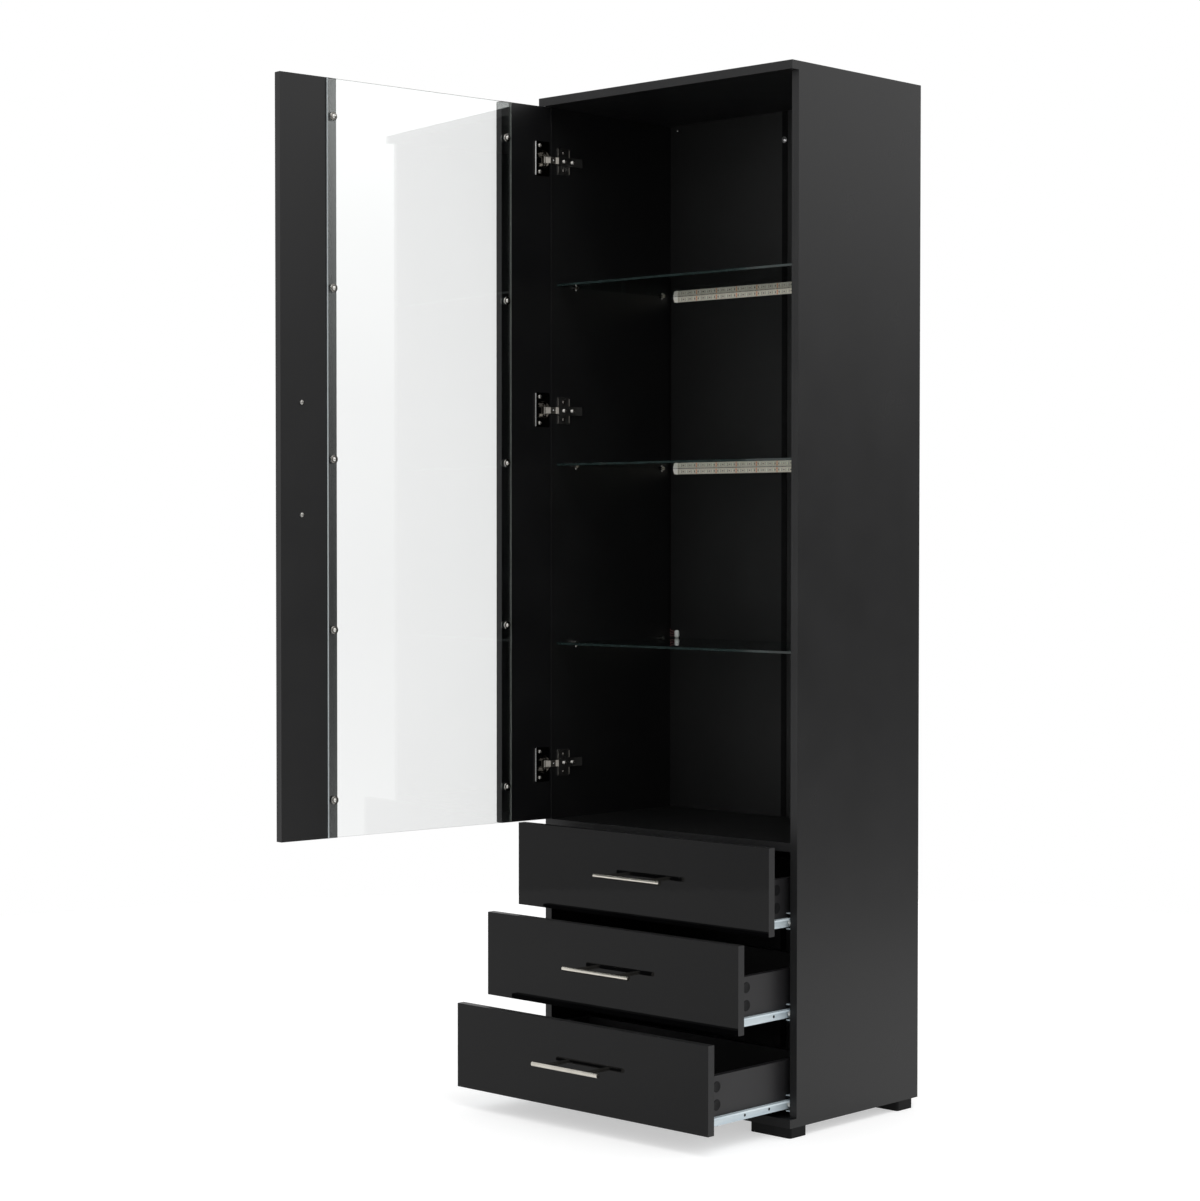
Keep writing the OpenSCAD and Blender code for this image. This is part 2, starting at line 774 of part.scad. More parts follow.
// Drawer profile of one left-hand runner: web, lip with its edge turned down, lower flange
module drawer_runner(i) {
    z = front_z(i) + box_rise;
    difference() {
        union() {
            translate([box_x, board_t, z])
                rotate([90, 0, 0])
                    mirror([0, 0, 1])
                        linear_extrude(runner_l)
                            union() {
                                translate([-steel, -steel]) square([steel, lip_z + 2*steel]);
                                translate([-9.2, lip_z]) square([9.2, steel]);
                                translate([-9.2, lip_z - 2]) square([0.8, 3]);
                                translate([-steel, -steel]) square([12, steel]);
                            }
            // axle of the rear roller
            rod_x(box_x - 8.2, box_x - 0.5, rear_roller_y, z + rear_roller_z, 1.5);
        }
        for (y = web_hole_ys) rod_x(box_x - 3, box_x + 1, y, z + 6, 2.6);
        for (y = screw_ys) rod_z(box_x + box_t/2 - 2, y, z - 3, z + 1, 1.7);
    }
}

module drawer_runners(i) {
    color([0.92, 0.92, 0.91]) drawer_pose(i) both_sides() drawer_runner(i);
}

module drawer_front(i) {
    color([0.12, 0.12, 0.125])
        drawer_pose(i) difference() {
            block([door_x, 0, front_z(i)], [door_x + door_w, board_t, front_z(i) + front_h]);
            for (s = [-1, 1])
                rod_y(s*handle_pitch/2, -1, board_t + 1, front_z(i) + front_h/2, 2.5);
            both_sides()
                for (dz = cam_dzs)
                    rod_y(box_x + box_t/2, board_t - 11, board_t + 1, front_z(i) + box_rise + dz,
                          2.5 + slip);
        }
}

// The box's two sides, with cams at the front and a groove for the base
module drawer_sides(i) {
    z = front_z(i) + box_rise;
    color([0.24, 0.24, 0.25])
        drawer_pose(i) both_sides()
            difference() {
                block([box_x, board_t, z], [box_x + box_t, box_back_y, z + box_h]);
                block([box_x + box_t - 5, board_t - 1, z + 6], [box_x + box_t + 1, box_back_y + 1, z + 9.4]);
                for (dz = cam_dzs) {
                    rod_x(box_x - 1, box_x + cam_small_deep, board_t + cam_from_edge, z + dz,
                          cam_small_r + slip);
                    rod_y(box_x + box_t/2, board_t - 1, board_t + cam_from_edge - cam_small_r + 1,
                          z + dz, 2.5 + slip);
                }
                for (y = screw_ys) rod_z(box_x + box_t/2 - 2, y, z - 1, z + 12, 1.5 + slip);
                for (dz = [24, 66])
                    rod_x(box_x - 1, box_x + box_t + 1, box_back_y - box_t/2, z + dz, 2 + slip);
            }
}

module drawer_back(i) {
    z = front_z(i) + box_rise;
    x0 = box_x + box_t;
    color([0.24, 0.24, 0.25])
        drawer_pose(i) difference() {
            block([x0, box_back_y - box_t, z + 9.6], [-x0, box_back_y, z + box_h]);
            both_sides()
                for (dz = [24, 66])
                    rod_x(x0 - 1, x0 + 26, box_back_y - box_t/2, z + dz, 2 + slip);
        }
}

module drawer_base(i) {
    z = front_z(i) + box_rise;
    x0 = box_x + box_t - 4.6;
    color([0.3, 0.3, 0.3])
        drawer_pose(i)
            block([x0, board_t + 0.1, z + 6.2], [-x0, box_back_y - 0.3, z + 9.2]);
}

module drawer_handle(i) {
    color([0.78, 0.77, 0.73])
        drawer_pose(i)
            translate([0, 0, front_z(i) + front_h/2])
                bar_handle(handle_pitch, handle_pitch + 60);
}

// Cams and their bolts, runner screws, back screws and handle screws of one drawer
module drawer_fixings(i) {
    z = front_z(i) + box_rise;
    color([0.75, 0.75, 0.74])
        drawer_pose(i) {
            both_sides() {
                for (dz = cam_dzs) {
                    rod_x(box_x + 0.1, box_x + cam_small_deep - 0.2, board_t + cam_from_edge, z + dz,
                          cam_small_r);
                    rod_y(box_x + box_t/2, board_t - 10.5, board_t + cam_from_edge - cam_small_r - 0.3,
                          z + dz, 2.5);
                }
                for (y = screw_ys) {
                    rod_z(box_x + box_t/2 - 2, y, z - steel - 0.1, z + 11.5, 1.5);
                    rod_z(box_x + box_t/2 - 2, y, z - steel - 1.3, z - steel - 0.1, 2.8);
                }
                for (dz = [24, 66]) {
                    rod_x(box_x - 0.1, box_x + 36, box_back_y - box_t/2, z + dz, 2);
                    rod_x(box_x - 1.4, box_x - 0.1, box_back_y - box_t/2, z + dz, 3.5);
                }
            }
            for (s = [-1, 1]) {
                rod_y(s*handle_pitch/2, -12, board_t + 0.2, front_z(i) + front_h/2, 2);
                rod_y(s*handle_pitch/2, board_t + 0.2, board_t + 2.2, front_z(i) + front_h/2, 4.2);
            }
        }
}

// ---------- what is drawn ----------

top_panel();
bottom_panel();
middle_panel();
side_left_upper();
side_left_lower();
side_right_upper();
side_right_lower();
back_left();
back_right();
back_strip();
feet();
shelf_lower();
shelf_middle();
shelf_upper();
shelf_supports();
light_tapes();
light_lead();
light_socket();
hinge_plates();
hinge_arms();
hinge_arm_screws();
cabinet_runners();
back_screw();
cam_locks();
panel_joints();
door_stile_hinge();
door_stile_free();
door_glass();
glass_screws();
door_handle();
hinge_cups();
door_screws();
hinge_pins();
drawer_front(0);  // drawer_top_front
drawer_sides(0);  // drawer_top_sides
drawer_back(0);  // drawer_top_back
drawer_base(0);  // drawer_top_base
drawer_runners(0);  // drawer_top_runners
drawer_handle(0);  // drawer_top_handle
drawer_fixings(0);  // drawer_top_fixings
rear_rollers(0);  // drawer_top_rear_rollers
front_rollers(0);  // drawer_top_front_rollers
drawer_front(1);  // drawer_middle_front
drawer_sides(1);  // drawer_middle_sides
drawer_back(1);  // drawer_middle_back
drawer_base(1);  // drawer_middle_base
drawer_runners(1);  // drawer_middle_runners
drawer_handle(1);  // drawer_middle_handle
drawer_fixings(1);  // drawer_middle_fixings
rear_rollers(1);  // drawer_middle_rear_rollers
front_rollers(1);  // drawer_middle_front_rollers
drawer_front(2);  // drawer_bottom_front
drawer_sides(2);  // drawer_bottom_sides
drawer_back(2);  // drawer_bottom_back
drawer_base(2);  // drawer_bottom_base
drawer_runners(2);  // drawer_bottom_runners
drawer_handle(2);  // drawer_bottom_handle
drawer_fixings(2);  // drawer_bottom_fixings
rear_rollers(2);  // drawer_bottom_rear_rollers
front_rollers(2);  // drawer_bottom_front_rollers
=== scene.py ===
"""China cabinet with a glass door: materials, small fittings, lights and camera."""

import math

import bmesh
import bpy
from mathutils import Matrix, Vector


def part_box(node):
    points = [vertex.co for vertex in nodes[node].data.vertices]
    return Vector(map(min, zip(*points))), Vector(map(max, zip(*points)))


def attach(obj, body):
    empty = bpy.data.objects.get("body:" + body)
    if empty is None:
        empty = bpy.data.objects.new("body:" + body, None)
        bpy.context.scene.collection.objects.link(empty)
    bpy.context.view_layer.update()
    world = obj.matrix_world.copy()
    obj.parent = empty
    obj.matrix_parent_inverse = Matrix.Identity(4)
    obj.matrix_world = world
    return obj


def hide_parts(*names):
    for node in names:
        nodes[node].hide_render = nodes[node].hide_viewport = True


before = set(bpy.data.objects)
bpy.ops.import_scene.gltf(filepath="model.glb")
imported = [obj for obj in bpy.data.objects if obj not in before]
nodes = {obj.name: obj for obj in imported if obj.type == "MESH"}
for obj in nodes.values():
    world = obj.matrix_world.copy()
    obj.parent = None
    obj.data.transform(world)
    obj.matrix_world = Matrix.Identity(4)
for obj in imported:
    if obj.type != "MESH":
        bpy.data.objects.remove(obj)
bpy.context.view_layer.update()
MM = 0.001


# ---------- places read from the frame ----------

top_lo, top_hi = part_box("top_panel")
CABINET_W = top_hi.x - top_lo.x
MIDDLE_X = (top_lo.x + top_hi.x) / 2
FRONT_Y = top_lo.y
BOARD = 15 * MM
UP = Vector((0, 0, 1))
PLUS_X = Vector((1, 0, 0))
OUTWARD_Y = Vector((0, -1, 0))
PLUS_Y = -OUTWARD_Y


def at(x, y, z):
    """A point given in millimetres from the cabinet's middle, front face and floor."""
    return Vector((MIDDLE_X + x * MM, FRONT_Y + y * MM, z * MM))


# ---------- material helpers ----------


def tools(tree):
    """(node maker, linker) for a node tree."""

    def make(kind, **values):
        n = tree.nodes.new(kind)
        for key, value in values.items():
            if hasattr(n, key):
                setattr(n, key, value)
            else:
                n.inputs[key].default_value = value
        return n

    def link(a, out, b, socket):
        tree.links.new(a.outputs[out], b.inputs[socket])

    return make, link


mats = {}     # every material made here, by the name it was asked for


def material(name):
    """Makes a node material and keeps it in mats: (node maker, linker, principled shader)."""
    m = bpy.data.materials.new(name)
    m.use_nodes = True
    mats[name] = m
    return *tools(m.node_tree), m.node_tree.nodes["Principled BSDF"]


def stretched(make, link, scale):
    """Object coordinates stretched by a scale on each axis."""
    coords = make("ShaderNodeTexCoord")
    mapping = make("ShaderNodeMapping")
    mapping.inputs["Scale"].default_value = scale
    link(coords, "Object", mapping, "Vector")
    return mapping


def noise(make, link, vector, scale, detail=4.0, rough=0.55):
    """A noise texture of a given scale on a vector."""
    n = make("ShaderNodeTexNoise")
    n.inputs["Scale"].default_value = scale
    n.inputs["Detail"].default_value = detail
    n.inputs["Roughness"].default_value = rough
    link(vector, "Vector", n, "Vector")
    return n


def ramp(make, link, source, out, low, high, a, b):
    """A colour ramp from colour a at low to colour b at high."""
    r = make("ShaderNodeValToRGB")
    r.color_ramp.elements[0].position = low
    r.color_ramp.elements[1].position = high
    r.color_ramp.elements[0].color = (*a, 1)
    r.color_ramp.elements[1].color = (*b, 1)
    link(source, out, r, "Fac")
    return r


def levels(make, link, source, out, low, high):
    """The source, from 0 to 1, mapped onto low to high."""
    r = make("ShaderNodeMapRange")
    r.inputs["To Min"].default_value = low
    r.inputs["To Max"].default_value = high
    link(source, out, r, "Value")
    return r


def bump(make, link, shader, source, out, strength, depth):
    """Surface relief on a shader, from a source's output."""
    b = make("ShaderNodeBump")
    b.inputs["Strength"].default_value = strength
    b.inputs["Distance"].default_value = depth
    link(source, out, b, "Height")
    link(b, "Normal", shader, "Normal")
    return b


def board(name, dark, light, rough, grain=1400, relief=0.00005, mottling=0.02, specular=0.5):
    """Laminated board: faint mottling, a fine pressed texture and uneven sheen."""
    make, link, shader = material(name)
    vector = stretched(make, link, (1, 1, 1))
    broad = noise(make, link, vector, 9, 5)
    fine = noise(make, link, vector, grain, 2)
    colour = ramp(make, link, broad, "Fac", 0.5 - 12 * mottling, 0.5 + 12 * mottling, dark, light)
    link(colour, "Color", shader, "Base Color")
    sheen = levels(make, link, broad, "Fac", rough[0], rough[1])
    link(sheen, "Result", shader, "Roughness")
    shader.inputs["Specular IOR Level"].default_value = specular
    bump(make, link, shader, fine, "Fac", 0.25, relief)


def gloss(name, dark, light):
    """High-gloss front: almost a mirror, with the slow waviness of a pressed foil."""
    make, link, shader = material(name)
    vector = stretched(make, link, (1, 1, 1))
    broad = noise(make, link, vector, 7, 4)
    waves = noise(make, link, vector, 30, 2)
    shader.inputs["Specular IOR Level"].default_value = 0.17
    colour = ramp(make, link, broad, "Fac", 0.3, 0.7, dark, light)
    link(colour, "Color", shader, "Base Color")
    sheen = levels(make, link, broad, "Fac", 0.02, 0.06)
    link(sheen, "Result", shader, "Roughness")
    bump(make, link, shader, waves, "Fac", 0.12, 0.0003)


def metal(name, colour, rough, scale=(1, 1, 1), grain=900, strength=0.2, depth=0.00004):
    """Plated or brushed metal: tone and roughness vary along the drawn grain."""
    make, link, shader = material(name)
    vector = stretched(make, link, scale)
    lines = noise(make, link, vector, grain, 3)
    broad = noise(make, link, stretched(make, link, (1, 1, 1)), 40, 3)
    dull = tuple(c * 0.86 for c in colour)
    tone = ramp(make, link, broad, "Fac", 0.3, 0.7, dull, colour)
    link(tone, "Color", shader, "Base Color")
    shader.inputs["Metallic"].default_value = 1.0
    sheen = levels(make, link, lines, "Fac", rough[0], rough[1])
    link(sheen, "Result", shader, "Roughness")
    bump(make, link, shader, lines, "Fac", strength, depth)


def plastic(name, dark, light, rough, grain=500, relief=0.00005, specular=0.5,
            scale=(1, 1, 1), painted_glow=0.0):
    """Moulded plastic or paint with a slight surface texture; its emission, when given, is painted
    light on parts that are no lamp.
    """
    make, link, shader = material(name)
    vector = stretched(make, link, scale)
    broad = noise(make, link, vector, 60, 4)
    shader.inputs["Specular IOR Level"].default_value = specular
    # emission in the light colour: painted light
    shader.inputs["Emission Color"].default_value = (*light, 1)
    shader.inputs["Emission Strength"].default_value = painted_glow
    fine = noise(make, link, vector, grain, 3)
    colour = ramp(make, link, broad, "Fac", 0.35, 0.65, dark, light)
    link(colour, "Color", shader, "Base Color")
    sheen = levels(make, link, fine, "Fac", rough[0], rough[1])
    link(sheen, "Result", shader, "Roughness")
    bump(make, link, shader, fine, "Fac", 0.2, relief)


def pane(name, tint):
    """Face of a glass sheet: clear, with reflections that grow at grazing angles."""
    make, link, shader = material(name)
    tree = mats[name].node_tree
    clear = make("ShaderNodeBsdfTransparent")
    vector = stretched(make, link, (1, 1, 1))
    cloud = noise(make, link, vector, 5, 3)
    tone = ramp(make, link, cloud, "Fac", 0.2, 0.8, tuple(t * 0.992 for t in tint), tint)
    link(tone, "Color", clear, "Color")
    mirror = make("ShaderNodeBsdfGlossy")
    mirror.inputs["Roughness"].default_value = 0.0
    mirror.inputs["Color"].default_value = (0.97, 1.0, 0.985, 1)
    fresnel = make("ShaderNodeFresnel")
    fresnel.inputs["IOR"].default_value = 1.5
    mix = make("ShaderNodeMixShader")
    link(fresnel, "Fac", mix, "Fac")
    link(clear, "BSDF", mix, 1)
    link(mirror, "BSDF", mix, 2)
    link(mix, "Shader", tree.nodes["Material Output"], "Surface")
    tree.nodes.remove(shader)


def pane_edge(name, dark, light):
    """Polished edge of a glass sheet, streaked along its length."""
    make, link, shader = material(name)
    vector = stretched(make, link, (1, 1, 1))
    streaks = noise(make, link, stretched(make, link, (1, 1, 8)), 45, 4)
    colour = ramp(make, link, streaks, "Fac", 0.35, 0.7, dark, light)
    link(colour, "Color", shader, "Base Color")
    sheen = levels(make, link, noise(make, link, vector, 300, 2), "Fac", 0.04, 0.16)
    link(sheen, "Result", shader, "Roughness")
    shader.inputs["IOR"].default_value = 1.5


board("carcass", (0.0032, 0.0032, 0.0034), (0.0046, 0.0046, 0.0049), (0.22, 0.3), specular=0.3)
# the carcass board painted darker and duller for the faces that look into the cabinet: painted shade
board("inside", (0.0022, 0.0022, 0.0025), (0.0036, 0.0036, 0.0038), (0.36, 0.46), specular=0.4)
board("edge_band", (0.010, 0.010, 0.0105), (0.0145, 0.0145, 0.015), (0.38, 0.5), specular=0.25)
# the bottom panel's front edge, painted darker than the other front edges: painted shade for the
# floor's shadow seen in it
board("base_edge_painted_shade", (0.003, 0.003, 0.0032), (0.005, 0.005, 0.0052), (0.38, 0.5), specular=0.15)
gloss("front", (0.0016, 0.0016, 0.0018), (0.0024, 0.0024, 0.0026))
board("door_inside", (0.003, 0.003, 0.0033), (0.0045, 0.0045, 0.0048), (0.25, 0.35), specular=0.36)
board("back", (0.003, 0.003, 0.0032), (0.005, 0.005, 0.0052), (0.4, 0.5), 900, 0.00008)
board("back_rear", (0.165, 0.112, 0.07), (0.185, 0.127, 0.081), (0.6, 0.75), 700, 0.0002, 0.02)
board("drawer_board", (0.011, 0.0106, 0.0114), (0.0155, 0.015, 0.016), (0.35, 0.5), specular=0.3)
board("drawer_base", (0.012, 0.012, 0.013), (0.018, 0.018, 0.019), (0.45, 0.6), 900, 0.0001)
plastic("black_plastic", (0.0018, 0.0018, 0.002), (0.0038, 0.0038, 0.004), (0.42, 0.55),
        specular=0.1)
plastic("cam_cap", (0.0025, 0.0025, 0.003), (0.005, 0.005, 0.0055), (0.5, 0.6), specular=0.15)
plastic("white_plastic", (0.78, 0.78, 0.76), (0.86, 0.86, 0.85), (0.3, 0.42))
plastic("roller", (0.72, 0.72, 0.69), (0.8, 0.8, 0.78), (0.35, 0.5))
plastic("runner", (0.44, 0.52, 0.57), (0.6, 0.67, 0.7), (0.28, 0.4), 260, 0.00012,
        scale=(1, 0.08, 1))
metal("nickel", (0.66, 0.65, 0.62), (0.05, 0.14))
metal("nickel_dark", (0.2, 0.19, 0.175), (0.06, 0.16))
metal("nickel_grey", (0.36, 0.35, 0.33), (0.12, 0.24))
metal("satin", (0.27, 0.255, 0.23), (0.36, 0.48))
metal("zinc", (0.62, 0.62, 0.61), (0.22, 0.42), grain=300)
metal("brushed_x", (0.62, 0.59, 0.53), (0.14, 0.28), (0.02, 1, 1), 1500, 0.35)
metal("brushed_z", (0.62, 0.59, 0.53), (0.14, 0.28), (1, 1, 0.02), 1500, 0.35)
metal("bright", (0.82, 0.82, 0.82), (0.06, 0.16))
pane("shelf_glass", (0.955, 0.985, 0.972))
pane("door_glass", (0.982, 0.986, 0.985))
pane_edge("glass_edge", (0.006, 0.011, 0.0105), (0.016, 0.028, 0.027))
# the door's glass edges are painted lighter than the shelves' glass edges, and its free edge lighter
# still: painted light for the light these edges catch
pane_edge("door_edge_painted_light", (0.5, 0.55, 0.56), (0.66, 0.71, 0.72))
pane_edge("door_edge", (0.17, 0.18, 0.17), (0.26, 0.27, 0.255))
plastic("wire", (0.004, 0.003, 0.003), (0.007, 0.005, 0.005), (0.5, 0.6), specular=0.1)
plastic("lead", (0.2, 0.07, 0.075), (0.3, 0.13, 0.13), (0.4, 0.5))
board("beech", (0.42, 0.3, 0.18), (0.55, 0.42, 0.27), (0.5, 0.65), 500, 0.0002)
# The light tapes are switched off: the faint emission on their silicone, circuit, copper marks, end
# caps and lamps is painted light.
plastic("silicone", (0.6, 0.57, 0.49), (0.68, 0.65, 0.57), (0.2, 0.35), painted_glow=0.1)
plastic("circuit", (0.6, 0.57, 0.48), (0.68, 0.64, 0.55), (0.25, 0.4), painted_glow=0.11)
plastic("end_cap", (0.78, 0.76, 0.7), (0.86, 0.84, 0.78), (0.1, 0.2), painted_glow=0.16)
plastic("copper", (0.7, 0.25, 0.1), (0.82, 0.34, 0.15), (0.3, 0.45), painted_glow=0.08)
plastic("lamp", (0.74, 0.72, 0.56), (0.8, 0.78, 0.64), (0.2, 0.3), painted_glow=0.1)
plastic("resistor", (0.02, 0.02, 0.022), (0.03, 0.03, 0.032), (0.3, 0.4))
silicone = mats["silicone"].node_tree.nodes["Principled BSDF"]
silicone.inputs["Subsurface Weight"].default_value = 0.3
silicone.inputs["Subsurface Radius"].default_value = (2 * MM, 2 * MM, 2 * MM)


def paint(node, first, *others):
    """Gives a CAD node its materials. Each of others is (material name, test of a face)."""
    mesh = nodes[node].data
    mesh.materials.clear()
    mesh.materials.append(mats[first])
    for name, _ in others:
        mesh.materials.append(mats[name])
    for face in mesh.polygons:
        face.material_index = 0
        for i, (_, test) in enumerate(others):
            if test(face):
                face.material_index = i + 1


def soften(node, width, segments=2, angle=30):
    """Rounds a CAD node's edges very slightly, so that they catch the light."""
    o = nodes[node]
    flat = o.modifiers.new("flat", "DECIMATE")
    flat.decimate_type = "DISSOLVE"
    flat.angle_limit = math.radians(0.5)
    flat.delimit = {"MATERIAL"}
    b = o.modifiers.new("edges", "BEVEL")
    b.width = width * MM
    b.segments = segments
    b.limit_method = "ANGLE"
    b.angle_limit = math.radians(angle)
    b.harden_normals = True
    b.use_clamp_overlap = True


def shade(mesh, angle):
    """Smooth shading that keeps edges sharper than an angle in degrees."""
    mesh.shade_smooth()
    mesh.set_sharp_from_angle(angle=math.radians(angle))


def smooth(node):
    """Smooth shading of a CAD node's round faces."""
    shade(nodes[node].data, 30)


# ---------- CAD nodes ----------

INNER = CABINET_W / 2 - BOARD + 0.1 * MM     # half the cabinet's inner width, with a hair to spare
EDGE_SOFT = 0.35                              # rounding of a banded board's edges, in millimetres
ARM_HEAD = 14.5 * MM                          # reach of a hinge arm's duller front part
BOLT_REACH = 11.2 * MM                        # bolts start this far in from the cabinet's sides
MIDDLE_JOINTS = (0.4, 0.6)                    # heights between which all joints are bolts


def faces_inside(face):
    """True on the carcass faces that look into the cabinet, which get the board painted darker as
    shade.
    """
    c, n = face.center, face.normal
    x = c.x - MIDDLE_X
    return abs(x) < INNER and (n.x * x < -1e-4 or abs(n.z) > 0.9 or n.y < -0.5)


def faces_front(face):
    """True on the faces that look forward."""
    return face.normal.y < -0.9


# faces that look into the cabinet get the board with painted shade
for name in ("side_left_upper", "side_left_lower", "side_right_upper", "side_right_lower"):
    paint(name, "carcass", ("inside", faces_inside), ("edge_band", faces_front))
    soften(name, EDGE_SOFT)
paint("top_panel", "carcass", ("inside", lambda f: f.normal.z < -0.9), ("edge_band", faces_front))
# the bottom panel's front edge gets painted shade
paint("bottom_panel", "carcass", ("inside", lambda f: f.normal.z > 0.9), ("base_edge_painted_shade", faces_front))
paint("middle_panel", "inside", ("edge_band", faces_front))
for name in ("top_panel", "bottom_panel", "middle_panel"):
    soften(name, EDGE_SOFT)
for name in ("back_left", "back_right"):
    paint(name, "back", ("back_rear", lambda f: f.normal.y > 0.9))
paint("back_strip", "black_plastic")
soften("back_strip", 0.25)
paint("feet", "black_plastic")
soften("feet", 0.8, 3)

for name in ("shelf_lower", "shelf_middle", "shelf_upper"):
    paint(name, "shelf_glass", ("glass_edge", lambda f: abs(f.normal.z) < 0.5))


def faces_across_door(face):
    """True on the door's four narrow sides."""
    return abs(face.normal.dot(DOOR_OUT)) < 0.5


hinge_lo, hinge_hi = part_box("door_stile_hinge")
free_lo, free_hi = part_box("door_stile_free")
DOOR_ALONG = Vector(((free_lo.x + free_hi.x) - (hinge_lo.x + hinge_hi.x),
                     (free_lo.y + free_hi.y) - (hinge_lo.y + hinge_hi.y), 0)).normalized()
DOOR_OUT = Vector((DOOR_ALONG.y, -DOOR_ALONG.x, 0))     # the way the door's front face looks
INTO_ROOM = -DOOR_OUT                                   # the way its back face looks
# the door glass's narrow edges get painted light, the free edge the most
paint("door_glass", "door_glass", ("door_edge", faces_across_door),
      ("door_edge_painted_light", lambda f: f.normal.dot(DOOR_ALONG) > 0.9))


def faces_door_front(face):
    """True on the side of the door that shows when it is shut."""
    return face.normal.dot(DOOR_OUT) > 0.9


def faces_door_back(face):
    """True on the side of the door that looks into the cabinet when it is shut."""
    return face.normal.dot(DOOR_OUT) < -0.9


for name in ("door_stile_hinge", "door_stile_free"):
    paint(name, "edge_band", ("front", faces_door_front), ("door_inside", faces_door_back))
    soften(name, EDGE_SOFT)

SIDE_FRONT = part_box("side_left_upper")[0].y   # front edge of the side panels


def faces_of_bolts(face):
    """True on the steel bolts among the panel joints; the others are beech dowels."""
    low, high = MIDDLE_JOINTS
    return abs(face.center.x - MIDDLE_X) < CABINET_W / 2 - BOLT_REACH or low < face.center.z < high


paint("shelf_supports", "nickel_grey")
paint("hinge_plates", "nickel")
paint("hinge_arms", "nickel", ("satin", lambda f: f.center.y < SIDE_FRONT + ARM_HEAD))
paint("hinge_cups", "nickel_dark")
paint("hinge_pins", "zinc")
paint("hinge_arm_screws", "zinc")
paint("cabinet_runners", "runner")
paint("back_screw", "bright")
paint("cam_locks", "cam_cap")
paint("panel_joints", "beech", ("zinc", faces_of_bolts))
paint("glass_screws", "zinc")
paint("door_screws", "zinc")
paint("door_handle", "brushed_z")
paint("light_lead", "wire")
paint("light_socket", "white_plastic")
for name in ("shelf_supports", "hinge_plates", "hinge_arms", "hinge_cups", "back_screw",
             "glass_screws", "door_screws", "hinge_arm_screws", "cam_locks"):
    smooth(name)
for name in ("shelf_supports", "hinge_plates", "hinge_arms", "cabinet_runners"):
    soften(name, 0.2)
for name in ("door_handle", "light_socket"):
    smooth(name)
    soften(name, 0.5, 3)

DRAWERS = ("top", "middle", "bottom")
CAM_BACK = 34 * MM        # from a drawer side's front end to the middle of its cams
CAM_OUT = 268 * MM        # from the cabinet's middle to the middle of a drawer's cam
CAM_SPAN = 7.6 * MM       # just over a cam's radius
CAM_DEEP = 5.6 * MM       # just over half a cam's depth


def faces_of_cams(face):
    """True on a drawer's cams; its other fixings are bright. Reads cam_y of the drawer in hand."""
    out = abs(face.center.x - MIDDLE_X)
    return abs(face.center.y - cam_y) < CAM_SPAN and abs(out - CAM_OUT) < CAM_DEEP


for k in DRAWERS:
    d = "drawer_" + k + "_"
    side_lo, side_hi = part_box(d + "sides")
    paint(d + "front", "edge_band", ("front", faces_front),
          ("drawer_board", lambda f: f.normal.y > 0.9))
    soften(d + "front", EDGE_SOFT)
    for part in ("sides", "back"):
        paint(d + part, "drawer_board")
        soften(d + part, 0.3)
    paint(d + "base", "drawer_base")
    paint(d + "runners", "runner")
    soften(d + "runners", 0.15)
    paint(d + "handle", "brushed_x")
    smooth(d + "handle")
    soften(d + "handle", 0.5, 3)
    cam_y = side_lo.y + CAM_BACK
    paint(d + "fixings", "zinc", ("cam_cap", faces_of_cams))
    smooth(d + "fixings")
    for part in ("rear_rollers", "front_rollers"):
        paint(d + part, "roller")
        smooth(d + part)
        soften(d + part, 0.5)


# ---------- small pieces ----------


def piece(name, form, body, slot, *names):
    """A new object from a bmesh, riding on a body, with its materials."""
    mesh = bpy.data.meshes.new(name)
    form.normal_update()
    form.to_mesh(mesh)
    form.free()
    o = bpy.data.objects.new(name, mesh)
    bpy.context.scene.collection.objects.link(o)
    for n in names:
        mesh.materials.append(mats[n])
    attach(o, body)
    return o


def join(form, part):
    """Adds one bmesh to another."""
    spare = bpy.data.meshes.new("spare")
    part.to_mesh(spare)
    part.free()
    form.from_mesh(spare)
    bpy.data.meshes.remove(spare)


def round_edges(o, width, segments):
    """Rounds a piece's sharp edges."""
    b = o.modifiers.new("edges", "BEVEL")
    b.width = width
    b.segments = segments
    b.limit_method = "ANGLE"
    b.angle_limit = math.radians(50)


def solids(node):
    """The separate solids of a CAD node, each a list of points."""
    form = bmesh.new()
    form.from_mesh(nodes[node].data)
    bmesh.ops.remove_doubles(form, verts=form.verts, dist=1e-6)
    left, found = set(form.verts), []
    while left:
        start = left.pop()
        group, queue = [start], [start]
        while queue:
            for edge in queue.pop().link_edges:
                for v in edge.verts:
                    if v in left:
                        left.remove(v)
                        group.append(v)
                        queue.append(v)
        found.append([v.co.copy() for v in group])
    form.free()
    return sorted(found, key=lambda g: tuple(round(c, 4) for c in sum(g, Vector()) / len(g)))


def tip(points, way):
    """(middle, radius) of a solid's flat end that looks a given way."""
    reach = max(p.dot(way) for p in points)
    rim = [p for p in points if p.dot(way) > reach - 2e-5]
    middle = sum(rim, Vector()) / len(rim)
    return middle, max((p - middle).length for p in rim)


def facing(way):
    """Rotation that takes +Z to a given way."""
    return way.to_track_quat("Z", "Y").to_matrix().to_4x4()


def lathe(profile, steps=36):
    """A closed solid turned about Z from (radius, height) points that start and end on the axis."""
    form = bmesh.new()
    rings = []
    for r, z in profile:
        if r < 1e-9:
            rings.append([form.verts.new((0, 0, z))])
        else:
            rings.append([form.verts.new((r * math.cos(t), r * math.sin(t), z))
                          for t in (2 * math.pi * k / steps for k in range(steps))])
    for low, high in zip(rings, rings[1:]):
        for k in range(steps):
            n = (k + 1) % steps
            if len(low) == 1:
                face = (low[0], high[k], high[n])
            elif len(high) == 1:
                face = (low[k], low[n], high[0])
            else:
                face = (low[k], low[n], high[n], high[k])
            form.faces.new(face)
    bmesh.ops.recalc_face_normals(form, faces=form.faces)
    return form


